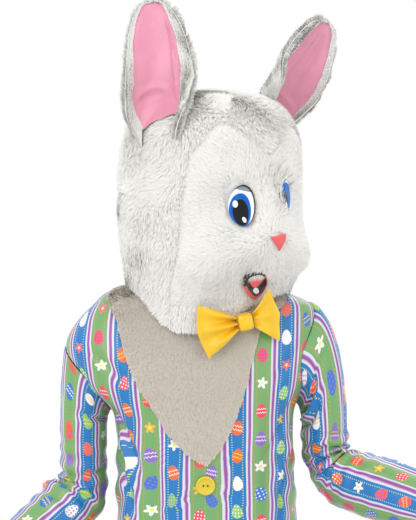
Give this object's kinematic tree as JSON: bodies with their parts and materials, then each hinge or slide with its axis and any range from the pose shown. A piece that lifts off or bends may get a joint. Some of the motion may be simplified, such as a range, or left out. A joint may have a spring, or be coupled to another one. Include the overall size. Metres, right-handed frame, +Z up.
{
  "type": "easter bunny costume",
  "caption": "Hollow costume as worn: striped satin jacket with fur chest panel, white fur rabbit head mask with tall ears, and yellow bow tie.",
  "frame": {"origin": "on the torso's axis at the base of the neck, where the wearer carries the costume", "axes": "+Z up; the jacket's front faces -Y; +X towards the wearer's left"},
  "size_m": [0.8201, 0.3428, 1.1827],
  "materials": {
    "striped_satin": "printed polyester satin in blue and green stripes",
    "cream_fur": "short cream pile",
    "white_fur": "long white plush",
    "pink_satin": "glossy satin",
    "yellow_satin": "glossy satin",
    "yellow_plastic": "moulded",
    "eye_plate": "printed",
    "coral_plate": "flocked coral"
  },
  "bodies": {
    "root": {"jacket_front_right": "striped_satin", "jacket_front_left": "striped_satin", "jacket_back": "striped_satin", "sleeve_right_upper": "striped_satin", "sleeve_right_lower": "striped_satin", "sleeve_left_upper": "striped_satin", "sleeve_left_lower": "striped_satin", "chest_panel": "cream_fur", "button": "yellow_plastic", "mask_hood_upper": "white_fur", "mask_hood_lower": "white_fur", "mask_face": "white_fur", "ear_right_outer": "white_fur", "ear_left_outer": "white_fur", "ear_right_inner": "pink_satin", "ear_left_inner": "pink_satin", "eye_right": "eye_plate", "eye_left": "eye_plate", "nose": "coral_plate", "mouth": "coral_plate", "bow_wing_right": "yellow_satin", "bow_wing_left": "yellow_satin", "bow_knot": "yellow_satin"}
  },
  "joints": []
}
